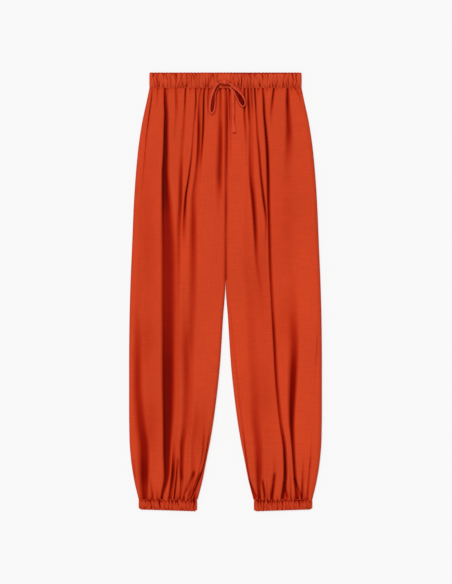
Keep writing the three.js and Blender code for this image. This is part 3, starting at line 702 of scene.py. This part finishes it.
def casing_piece(name, node, casing, steps, back_steps):
    """A casing as a closed ring: its outer face, its two rims and the inside of its narrow slit."""
    half = casing.thickness / 2
    left = casing.left + half
    right = casing.right - half
    turns = np.linspace(0, np.pi, END_TURNS)[1:-1]
    stops = [(x, 0.0) for x in np.linspace(left, right, steps + 1)]
    stops += [(right, turn) for turn in turns]
    stops += [(x, np.pi) for x in np.linspace(right, left, back_steps + 1)]
    stops += [(left, -turn) for turn in turns[::-1]]
    x = np.array([stop[0] for stop in stops])
    turn = np.array([stop[1] for stop in stops])
    shares = 0.5 - 0.5 * np.cos(np.pi * np.linspace(0, 1, CASING_ROWS + 1))
    ruffle = RUFFLE * (gathers(x + RUFFLE_SHIFT, RUFFLE_PITCH) - 1)
    low = casing.bottom(x) - (ruffle if casing.is_cuff else 0)
    high = casing.top(x) + (0 if casing.is_cuff else ruffle)
    facing = (turn == 0)[None, :]
    x_grid = np.repeat(x[None, :], len(shares), axis=0)
    y_out = low[None, :] + (high - low)[None, :] * shares[:, None]
    bulge = BACK_SWELL * (1 - np.abs(2 * shares - 1) ** SWELL_POWER)[:, None]
    around = half + (half + bulge) * np.cos(turn)[None, :]
    z_out = np.where(facing, casing.height(x_grid, y_out), np.maximum(around, 0))
    x_out = x[None, :] + (half + bulge) * np.sin(turn)[None, :]
    outer = np.stack((x_out, y_out, z_out), axis=-1)
    inner_half = half - casing.wall
    y_in = y_out[::-1][::INSIDE_STEP]
    z_in = np.repeat((half + inner_half * np.cos(turn))[None, :], len(y_in), axis=0)
    x_in = np.repeat((x + inner_half * np.sin(turn))[None, :], len(y_in), axis=0)
    inner = np.stack((x_in, y_in, z_in), axis=-1)
    rims = []
    for near, far, way in ((outer[-1], inner[0], 1), (inner[-1], outer[0], -1)):
        for t in RIM_TURNS:
            ring = near + (far - near) * t
            ring[:, 1] += way * casing.wall * RIM_ROUND * math.sin(math.pi * t)
            rims.append(ring)
    count = len(RIM_TURNS)
    points = np.concatenate((outer, np.array(rims[:count]), inner, np.array(rims[count:])), axis=0)
    rows, columns = points.shape[:2]
    faces = grid_faces(rows + 1, columns, ring=True) % (rows * columns)
    piece = new_piece(name, points, faces, "casing")
    # Painted shade: an even shade over the whole casing, more in the furrows of its gathers, under the cloth that
    # hangs over a cuff, and on the waistband along its top rim and round the bow.
    shade = np.full((rows, columns), casing.tone)
    added = CASING_SHADE * casing.furrows(x_grid, y_out) / casing.depth
    if casing.is_cuff:
        below = np.maximum(CUFF_SEAM - overhang(x_grid) - y_out, 0)
        added += OVERHANG_SHADE * np.exp(-below / OVERHANG_SHADE_REACH)
    else:
        middle, half_width, hollow_shade = RIM_SHADE_STRETCH
        shade_patch = np.exp(-np.abs((x_grid - middle) / half_width) ** 4)
        rim = np.clip((shares[:, None] - RIM_START) / RIM_FADE, 0, 1)
        added += tie_shade(x_grid, y_out)
        shade[:len(shares)] += rim * (RIM_SHADE + hollow_shade * shade_patch)
    shade[:len(shares)] += np.where(facing, added, 0)
    mark_painted_shade(piece, shade)
    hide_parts(node)
    return piece


# The lower and upper edges of the casings: y at any x.
def band_bottom(x):
    return WAIST_SEAM + SEAM / 2 + 0 * x


def band_top(x):
    return TOP - BAND_INSET + 0 * x


def cuff_top(x):
    return CUFF_SEAM - SEAM / 2 + 0 * x


def cuff_bottom(side):
    """The lower edge of a cuff, which slopes and has rounded corners."""
    def at(x):
        out = side * x - CUFF_INNER
        width = CUFF_OUTER - CUFF_INNER
        from_end = np.minimum(out, width - out) - CUFF_THICKNESS / 2
        corner = CUFF_CORNER * (1 - rolled(from_end, CUFF_CORNER))
        return -TOP + CUFF_INSET + CUFF_SLOPE * np.clip(out / width, 0, 1) + corner

    return at


BAND = Casing(
    left=-175, right=175, bottom=band_bottom, top=band_top, seam_share=0, thickness=8, wall=3, puff=3.2,
    places=BAND_GATHERS, fine=90, deepest=(-0.5, 1.3), depth=2.6, width=1.2, tone=0.03, seed=SEED, plain=(-2.6, 13),
)
CUFF = {
    "top": cuff_top, "seam_share": 1, "thickness": CUFF_THICKNESS, "wall": 2.4, "puff": 2.6, "fine": 32,
    "deepest": (0.5, 1.4), "depth": 2.1, "width": 1.3, "tone": 0.15,
}
RIGHT_CUFF = Casing(
    left=-CUFF_OUTER, right=-CUFF_INNER, bottom=cuff_bottom(-1), places=RIGHT_CUFF_GATHERS, seed=SEED + 1, **CUFF,
)
LEFT_CUFF = Casing(
    left=CUFF_INNER, right=CUFF_OUTER, bottom=cuff_bottom(1), places=LEFT_CUFF_GATHERS, seed=SEED + 2, **CUFF,
)


# The drawstring: flat, turned of the same cloth. LOW and HIGH are heights of its middle over what it lies on.
TIE_WIDTH = 6.4
TIE_THICKNESS = 2.2
LOW = 1.5
HIGH = 4.1
TIE_POINTS = 90
CURVE_STEPS = 24  # steps of a smooth curve from one given point to the next
SMOOTHING = 6  # points to each side over which the tie's height is evened out
SINK = 0.6  # how far the tie may press into the cloth
TIE_SIDES = 20

# The shade that the bow casts on the cloth, and that in the holes of its loops.
TIE_SHADE = 0.38
HOLE_SHADE = 0.8
SHADE_SHIFT = 0.9
SHADE_REACH = 1.9
SHADE_OVERLAP = 1
KNOT_SHADE = 0.35
KNOT_SHADE_DROP = 7
KNOT_SHADE_SIZE = (12, 2.2)
KNOT_RING_SHADE = 0.32
KNOT_OUTLINE_PLACE = 0.98
KNOT_OUTLINE_REACH = 0.2

# The tie's section: powers that flatten it, and a groove beside each edge as depth, place and half width.
TIE_FLATNESS = (0.75, 0.9)
TIE_GROOVE = (0.35, 0.66, 0.35)
# How the tie twists, as size and speed along it, and its ripples and patches of painted shade, which also have a
# speed across it.
TIE_TWIST = (0.14, 9)
TIE_RIPPLE = (0.06, 27, 4)
TIE_SHADE_PATCHES = (0.25, 19, 5)
# Painted shade on the stretches of the tie: more towards its edges, where the tube turns under, and an even shade all
# over. The knot has no even shade, so it shows lighter, a painted highlight.
TIE_EDGE_SHADE = 0.22
TIE_EVEN_SHADE = 0.08

# The knot: its middle, its length along the waistband, height up the picture and depth; how it lies and bends.
KNOT = {"x": -2.6, "y": 480.2, "length": 24, "height": 13.5, "depth": 8.6}
KNOT_RISE = 0.8
KNOT_DROP = 3
KNOT_ARCH = 4
KNOT_TILT = -1.5
KNOT_REST = 10.4  # height of its underside
KNOT_GRID = (64, 80)
KNOT_HEIGHT_SHARE = 0.85
KNOT_END_SHARE = 0.5
KNOT_KNOB = (0.02, 0.5)  # place and half length of its thicker middle
KNOT_ROUGHNESS = 0.05
KNOT_WAVES = (7.5, 1.3, 3)  # how fast it changes along the knot, how it shifts round it, and lobes round its ends
KNOT_CREASE_WIDTH = 0.09
KNOT_CREASE_RELIEF = 0.22
KNOT_UNDER_SHADE = 0.25
# The creases between the knot's turns: place along it from -1 to 1, slant, depth, which both dents the knot and
# paints shade in the crease.
KNOT_CREASES = (
    (-0.5, 0.18, 0.5), (-0.12, 0.1, 0.15), (0.45, -0.22, 0.5), (0.78, -0.2, 0.3),
)

# The tie's stretches: points of the middle line, and the width along it as a share of the tie's own.
LOOP_RIGHT = (
    (-15.6, 479.6, HIGH), (-22, 473, HIGH), (-28.5, 460, LOW), (-33.6, 445, LOW), (-36, 429, LOW),
    (-36, 416, LOW), (-31.6, 409.5, LOW), (-26.2, 416, LOW), (-24, 429, LOW), (-23.4, 443, LOW),
    (-22.4, 456, LOW), (-17.6, 468, LOW),
)
LOOP_RIGHT_WIDTHS = ((0, 0.85), (0.2, 0.9), (0.4, 0.75), (0.52, 0.65), (0.68, 0.5), (0.8, 0.32), (1, 0.32))
LOOP_LEFT = (
    (10, 478.5, HIGH), (17.5, 471, HIGH), (25, 465.5, HIGH), (31.5, 460, LOW), (38.3, 452, LOW),
    (43.8, 441, LOW), (45, 431, LOW), (39.6, 425.5, LOW), (33.4, 431.5, LOW), (27, 443, LOW), (22, 454, LOW),
    (17.5, 464, LOW),
)
LOOP_LEFT_WIDTHS = ((0, 0.9), (0.15, 1), (0.35, 0.75), (0.5, 0.5), (0.62, 0.5), (0.8, 0.45), (1, 0.6))
TAIL = (
    (9.5, 471.6, LOW), (15, 463, LOW), (17, 450, LOW), (17.5, 436, LOW), (17.8, 422, LOW), (18, 409, LOW),
    (17.5, 396, LOW), (17.8, 384, LOW), (19, 374, LOW), (19.6, 366, LOW),
)
TAIL_WIDTHS = (
    (0, 0.8), (0.25, 1.05), (0.4, 0.75), (0.55, 0.95), (0.68, 0.7), (0.85, 1.05), (0.94, 1.4), (1, 1.25),
)


def cloth_height(x, y):
    """Height of the garment's upper face at x, y, panels and waistband."""
    x, y = np.broadcast_arrays(np.asarray(x, float), np.asarray(y, float))
    right, _, _ = front_surface(-1, np.minimum(x, -SEAM), np.minimum(y, WAIST_SEAM))
    left, _, _ = front_surface(1, np.maximum(x, SEAM), np.minimum(y, WAIST_SEAM))
    band = BAND.height(x, np.clip(y, WAIST_SEAM, TOP))
    return np.where(y > WAIST_SEAM - 1, band, np.where(x < 0, right, left))


def inside(route, x, y):
    """Whether each x, y lies inside a loop of the tie."""
    path = catmull_rom(route, TIE_POINTS)
    within = np.zeros(np.shape(x), bool)
    for (x0, y0, _), (x1, y1, _) in zip(path, np.roll(path, -1, axis=0)):
        if y0 != y1:
            crosses = (y0 > y) != (y1 > y)
            within ^= crosses & (x < x0 + (y - y0) / (y1 - y0) * (x1 - x0))
    return within


def tie_shade(x, y):
    """The shade painted on the cloth beside and under the bow, 0 to 1: its shadow, a dark ring round the knot and the
    holes of its loops.
    """
    half_width, half_height = KNOT_SHADE_SIZE
    below = np.exp(-(((x - KNOT["x"]) / half_width) ** 2) - ((y - KNOT["y"] + KNOT_SHADE_DROP) / half_height) ** 2)
    near = np.full(np.shape(x), np.inf)
    for route in (LOOP_RIGHT, LOOP_LEFT, TAIL):
        for px, py, _ in catmull_rom(route, TIE_POINTS):
            near = np.minimum(near, np.hypot(x - px - SHADE_SHIFT, y - py + SHADE_SHIFT))
    beside = np.maximum(near - TIE_WIDTH / 2 + SHADE_OVERLAP, 0)
    shade = KNOT_SHADE * below + TIE_SHADE * np.exp(-((beside / SHADE_REACH) ** 2))
    from_knot = np.hypot((x - KNOT["x"]) / KNOT["length"] * 2, (y - KNOT["y"] - KNOT_RISE) / KNOT["height"] * 2)
    shade = shade + KNOT_RING_SHADE * np.exp(-(((from_knot - KNOT_OUTLINE_PLACE) / KNOT_OUTLINE_REACH) ** 2))
    for route in (LOOP_RIGHT, LOOP_LEFT):
        shade = np.where(inside(route, x, y), np.maximum(shade, HOLE_SHADE), shade)
    return shade


def catmull_rom(points, count):
    """Evenly spaced points on a smooth curve through the given ones."""
    knots = np.array(points, float)
    padded = np.concatenate((2 * knots[:1] - knots[1:2], knots, 2 * knots[-1:] - knots[-2:-1]))
    fine = []
    for k in range(1, len(padded) - 2):
        a, b, c, d = padded[k - 1:k + 3]
        t = np.linspace(0, 1, CURVE_STEPS, endpoint=False)[:, None]
        fine.append(0.5 * (2 * b + (c - a) * t + (2 * a - 5 * b + 4 * c - d) * t ** 2
                           + (3 * b - a - 3 * c + d) * t ** 3))
    fine = np.concatenate(fine + [knots[-1:]])
    run = np.concatenate(([0], np.cumsum(np.linalg.norm(np.diff(fine, axis=0), axis=1))))
    even = np.linspace(0, run[-1], count)
    return np.stack([np.interp(even, run, fine[:, k]) for k in range(3)], axis=1)


def tie_path(route):
    """The middle line of a stretch of the tie, lying on the cloth under its whole width."""
    path = catmull_rom(route, TIE_POINTS)
    reach = TIE_WIDTH / 2
    under = np.max([
        cloth_height(path[:, 0] + dx, path[:, 1] + dy) for dx in (-reach, 0, reach) for dy in (-reach, 0, reach)
    ], axis=0)
    window = np.hanning(2 * SMOOTHING + 1)
    padded = np.pad(under, SMOOTHING, mode="edge")
    smooth = np.convolve(padded, window / window.sum(), mode="valid")
    path[:, 2] += np.maximum(smooth, under - SINK)
    return path


def ribbon(name, path, width_at, seed):
    """A flat tie along a path: a soft tube with a shallow groove beside each edge."""
    along = np.gradient(path, axis=0)
    across = np.stack((along[:, 1], -along[:, 0], np.zeros(len(path))), axis=1)
    across /= np.linalg.norm(across, axis=1)[:, None]
    run = np.linspace(0, 1, len(path))
    phase = random.Random(seed).uniform(0, 6)
    angles = np.linspace(0, 2 * np.pi, TIE_SIDES, endpoint=False)
    groove_depth, groove_share, groove_width = TIE_GROOVE
    points = []
    shade = []
    for k, place in enumerate(path):
        half = width_at(run[k]) / 2
        twist = TIE_TWIST[0] * math.sin(TIE_TWIST[1] * run[k] + phase)
        for angle in angles:
            c, s = math.cos(angle), math.sin(angle)
            u = math.copysign(abs(c) ** TIE_FLATNESS[0], c) * half
            w = math.copysign(abs(s) ** TIE_FLATNESS[1], s) * TIE_THICKNESS / 2
            if s > 0:
                from_groove = (abs(u) - groove_share * half) / groove_width
                w -= groove_depth * math.exp(-from_groove ** 2) * TIE_THICKNESS / 2
                size, speed, speed_across = TIE_RIPPLE
                w += size * math.sin(speed * run[k] + speed_across * c + phase) * TIE_THICKNESS
            points.append(place + across[k] * u + np.array((0, 0, w + u * twist)))
            # Painted shade: an even shade, more towards the edges and in patches along the tie.
            size, speed, speed_across = TIE_SHADE_PATCHES
            shade_patch = max(0, math.sin(speed * run[k] + speed_across * c + phase)) ** 4
            shade.append(TIE_EVEN_SHADE + TIE_EDGE_SHADE * abs(c) ** 6 + size * shade_patch)
    rows, columns = len(path), len(angles)
    faces = [list(f) for f in grid_faces(rows, columns, ring=True)]
    faces.append(list(range(columns))[::-1])
    faces.append([(rows - 1) * columns + j for j in range(columns)])
    piece = new_piece(name, points, faces, "tie")
    mark_painted_shade(piece, np.array(shade))
    return piece


def tie_piece(name, node, route, widths, seed):
    """A stretch of the tie. widths gives its width along the route, as a share of the tie's own."""
    path = tie_path(route)
    share_at = column(widths, 1)
    piece = ribbon(name, path, lambda t: TIE_WIDTH * share_at(t), seed)
    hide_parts(node)
    return piece


def knot_piece():
    """The bow's knot: a soft lump with the turns of the tie wound over it."""
    rows, columns = KNOT_GRID
    knob_place, knob_length = KNOT_KNOB
    speed, shift, lobes = KNOT_WAVES
    points = []
    shade = []
    for i in range(rows + 1):
        polar = math.pi * i / rows
        axis = math.cos(polar)
        ring = math.sin(polar)
        knob = KNOT_END_SHARE + (1 - KNOT_END_SHARE) * math.exp(-(((axis - knob_place) / knob_length) ** 4))
        arch = KNOT_ARCH * (1 - axis * axis) + KNOT_TILT * axis
        for j in range(columns):
            turn = 2 * math.pi * j / columns
            crease = sum(
                depth * math.exp(-(((axis - place - slant * math.cos(turn)) / KNOT_CREASE_WIDTH) ** 2))
                for place, slant, depth in KNOT_CREASES
            )
            uneven = KNOT_ROUGHNESS * math.sin(speed * axis + shift * math.sin(turn)) * ring
            size = knob * (1 + uneven - KNOT_CREASE_RELIEF * crease)
            points.append((
                KNOT["x"] + KNOT["length"] / 2 * axis * (1 + KNOT_ROUGHNESS * math.sin(lobes * turn)),
                KNOT["y"] - KNOT_DROP + arch + KNOT["height"] / 2 * KNOT_HEIGHT_SHARE * ring * size * math.cos(turn),
                KNOT_REST + KNOT["depth"] / 2 * (1 + ring * size * math.sin(turn)),
            ))
            # Painted shade: darker on the knot's underside and in the creases between its turns.
            low = 0.5 - 0.5 * math.cos(turn)
            shade.append(KNOT_UNDER_SHADE * low ** 4 + crease)
    piece = new_piece("tie_knot", points, [f[::-1] for f in grid_faces(rows + 1, columns, ring=True)], "tie")
    mark_painted_shade(piece, np.array(shade))
    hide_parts("drawstring_knot")
    return piece


# The bars that stand for stitches: length, width, from one to the next, and how high they sit, as a share of width.
STITCH = {"length": 2.4, "width": 0.55, "pitch": 3.4, "lift": 0.15}
# The outline of a stitch: share of its length, of its width and of its height; and its section, across and up.
STITCH_OUTLINE = ((-0.5, 0.3, 0), (-0.3, 1, 0.6), (0.3, 1, 0.6), (0.5, 0.3, 0))
STITCH_SECTION = ((-1, 0), (-0.5, 1), (0.5, 1), (1, 0))
STITCHED_STEPS = 40  # steps in which a row follows a pocket's mouth


def stitch_row(name, xs, ys, height_at, slot_name):
    """A row of stitches along the line through the points xs, ys, lying on the cloth."""
    run = np.concatenate(([0], np.cumsum(np.hypot(np.diff(xs), np.diff(ys)))))
    places = np.arange(STITCH["length"], run[-1] - STITCH["length"], STITCH["pitch"])
    x = np.interp(places, run, xs)
    y = np.interp(places, run, ys)
    line = np.stack((x, y, height_at(x, y)), axis=1)
    ways = np.gradient(line, axis=0)
    ways /= np.linalg.norm(ways, axis=1)[:, None]
    corners = []
    faces = []
    for place, way in zip(line, ways):
        side_way = np.array((way[1], -way[0], 0))
        base = len(corners)
        for along, wide, high in STITCH_OUTLINE:
            middle = place + way * along * STITCH["length"]
            for across, up in STITCH_SECTION:
                lift = np.array((0, 0, (high * up + STITCH["lift"]) * STITCH["width"]))
                corners.append(middle + side_way * across * wide * STITCH["width"] / 2 + lift)
        faces.extend((base + grid_faces(len(STITCH_OUTLINE), len(STITCH_SECTION))).tolist())
    return new_piece(name, corners, faces, slot_name)


# Painted shade: the cloth's colour where shade is painted on it, as a share of its colour outside the shade: how much
# shade, share of red, green and blue.
PAINTED_SHADE_RAMP = (
    (0.0, (1, 1, 1)),
    (0.25, (0.86, 0.68, 0.62)),
    (0.5, (0.63, 0.27, 0.20)),
    (0.7, (0.42, 0.08, 0.04)),
    (0.85, (0.28, 0.03, 0.0)),
    (1.0, (0.12, 0.005, 0.0)),
)
PATCH_TONE = 0.9  # colour of the cloth's duller patches, as a share of its own


def fill(node, inputs):
    """Sets inputs of a node, each to a value or linked to another node's output."""
    for socket, value in inputs.items():
        if isinstance(value, bpy.types.NodeSocket):
            node.id_data.links.new(value, node.inputs[socket])
        else:
            node.inputs[socket].default_value = value
    return node


def node_material(name, colour, roughness, weave, sheen):
    """Satin-faced cloth: fine twill, crossing slubs, soft colour changes, and painted shade that darkens its colour
    in folds and wherever else a piece marks shade.
    """
    material = bpy.data.materials.new(name)
    material.use_nodes = True
    nodes = material.node_tree.nodes

    def add(kind, output, inputs, **settings):
        """The output of a new node."""
        node = nodes.new(f"ShaderNode{kind}")
        for setting, value in settings.items():
            setattr(node, setting, value)
        return fill(node, inputs).outputs[output]

    def stretched(scale, detail, size):
        """Noise that is drawn out along the axes of small scale."""
        places = add("Mapping", "Vector", {"Scale": scale, "Vector": place})
        return add("TexNoise", "Fac", {"Scale": size, "Detail": detail, "Vector": places})

    def coloured(value, stops):
        """A colour ramp over a value, from its stops' positions and colours."""
        colours = add("ValToRGB", "Color", {"Fac": value})
        elements = colours.node.color_ramp.elements
        while len(elements) < len(stops):
            elements.new(0.5)
        for element, (position, tint) in zip(elements, stops):
            element.position = position
            element.color = (*tint, 1)
        return colours

    def multiplied(a, b):
        return add("Mix", "Result", {"Factor": 1, "A": a, "B": b}, data_type="RGBA", blend_type="MULTIPLY")

    place = add("TexCoord", "Object", {})
    patches = stretched(scale=(1, 0.45, 1), detail=2, size=9)
    slubs = stretched(scale=(0.06, 1, 1), detail=2, size=420)
    warps = stretched(scale=(1, 0.05, 1), detail=2, size=640)
    thread = add("Math", "Value", {0: slubs, 1: warps}, operation="ADD")
    tone = add("MapRange", "Result", {
        "From Min": 0.75, "From Max": 1.25, "To Min": 0.93, "To Max": 1.06, "Value": thread,
    })
    cloth = multiplied(coloured(patches, ((0.3, [c * PATCH_TONE for c in colour]), (0.7, colour))), tone)
    # the shade painted on each piece, which darkens its colour in folds, under the tie and along edges
    depth = add("Attribute", "Fac", {}, attribute_name="painted_shade")
    twill = add("TexWave", "Fac", {"Scale": weave, "Distortion": 0.6, "Vector": place}, wave_type="BANDS",
                bands_direction="DIAGONAL")
    relief = add("Math", "Value", {0: thread, 1: 0.5, 2: twill}, operation="MULTIPLY_ADD")
    bump = add("Bump", "Normal", {"Strength": 0.12, "Distance": 0.1 * MM, "Height": relief})
    fill(nodes["Principled BSDF"], {
        "Base Color": multiplied(cloth, coloured(depth, PAINTED_SHADE_RAMP)),
        "Normal": bump,
        "Roughness": roughness,
        "Specular IOR Level": 0.05,
        "Specular Tint": (1.0, 0.5, 0.4, 1),
        "Sheen Weight": sheen,
        "Sheen Roughness": 0.45,
        "Sheen Tint": (1.0, 0.45, 0.28, 1),
    })
    return material


MATERIALS = {
    "cloth": node_material("satin_cloth", (0.615, 0.0545, 0.015), roughness=0.52, weave=900, sheen=0.01),
    "casing": node_material("gathered_casing", (0.62, 0.063, 0.0195), roughness=0.52, weave=900, sheen=0.03),
    # The tie is of the same cloth, its colour made lighter as a painted highlight, so that the knot and strands show
    # lighter than the cloth.
    "tie": node_material("turned_tie_lightened", (0.68, 0.076, 0.030), roughness=0.5, weave=900, sheen=0.03),
}

# Camera, straight over the trousers.
camera_data = bpy.data.cameras.new("camera")
camera_data.lens = LENS
camera_data.sensor_width = SENSOR
camera = in_scene("camera", camera_data)
half_view = PICTURE[1] * PIXEL / 2
camera.location = (VIEW_CENTRE_X, 0, EDGE_HEIGHT + half_view * LENS / (SENSOR / 2))
bpy.context.scene.camera = camera

# The drawstring.
tie_piece("tie_loop_right", "drawstring_loop_right", LOOP_RIGHT, LOOP_RIGHT_WIDTHS, SEED + 3)
tie_piece("tie_loop_left", "drawstring_loop_left", LOOP_LEFT, LOOP_LEFT_WIDTHS, SEED + 4)
tie_piece("tie_tail", "drawstring_end", TAIL, TAIL_WIDTHS, SEED + 5)
knot_piece()

# The cloth.
for side, word in ((1, "left"), (-1, "right")):
    front_panel(side, f"front_cloth_{word}", f"front_{word}")
    back_panel(side, f"back_cloth_{word}", f"back_{word}")
waist = casing_piece("waist_casing", "waistband", BAND, steps=520, back_steps=160)
for word, casing in (("left", LEFT_CUFF), ("right", RIGHT_CUFF)):
    cuff = casing_piece(f"cuff_casing_{word}", f"cuff_{word}", casing, steps=220, back_steps=70)

# Rows of stitches: on the waistband and the cuffs beside their seams, and beside the mouths of the pockets.
def stitch_along(name, casing, y):
    ends = np.array((casing.left + STITCH_INSET, casing.right - STITCH_INSET))
    stitch_row(name, ends, np.full(2, y), casing.height, "casing")


def stitch_mouth(name, side):
    y = np.linspace(*POCKET_MOUTH, STITCHED_STEPS)
    x = FOLDS[side]["side"].at(y) - side * POCKET_INSET
    stitch_row(name, x, y, lambda xs, ys: front_surface(side, xs, ys)[0], "cloth")


stitch_along("waist_stitches", BAND, WAIST_SEAM + STITCH_INSET)
for side, word, casing in ((1, "left", LEFT_CUFF), (-1, "right", RIGHT_CUFF)):
    stitch_along(f"cuff_stitches_{word}", casing, -TOP + HEM_INSET)
    stitch_mouth(f"pocket_stitches_{word}", side)

# Floor and light.
FLOOR_REACH = 6
FLOOR_DROP = 0.3 * MM
KEY_STRENGTH = 2.45
KEY_SPREAD = math.radians(40)
KEY_FROM = (-0.2, 0.3, 0.93)
STUDIO_STRENGTH = 0.32

floor_mesh = bpy.data.meshes.new("floor")
floor_corners = [(x * FLOOR_REACH, y * FLOOR_REACH, 0) for x, y in ((-1, -1), (1, -1), (1, 1), (-1, 1))]
floor_mesh.from_pydata(floor_corners, [], [(0, 1, 2, 3)])
floor = in_scene("floor", floor_mesh)
floor.location.z = -FLOOR_DROP
floor_material = bpy.data.materials.new("pale_floor")
floor_material.use_nodes = True
fill(floor_material.node_tree.nodes["Principled BSDF"], {
    "Base Color": (0.25, 0.25, 0.25, 1),
    "Roughness": 0.9,
    "Specular IOR Level": 0.1,
    "Emission Color": (1, 1, 1, 1),
    "Emission Strength": 0.68,
})
floor_mesh.materials.append(floor_material)

sun_data = bpy.data.lights.new("key", "SUN")
sun_data.energy = KEY_STRENGTH
sun_data.angle = KEY_SPREAD
sun = in_scene("key", sun_data)
sun.rotation_euler = Vector(KEY_FROM).to_track_quat("Z", "Y").to_euler()

world = bpy.data.worlds.new("studio")
bpy.context.scene.world = world
world.use_nodes = True
fill(world.node_tree.nodes["Background"], {"Color": (1, 1, 1, 1), "Strength": STUDIO_STRENGTH})
bpy.context.scene.view_settings.view_transform = "Standard"
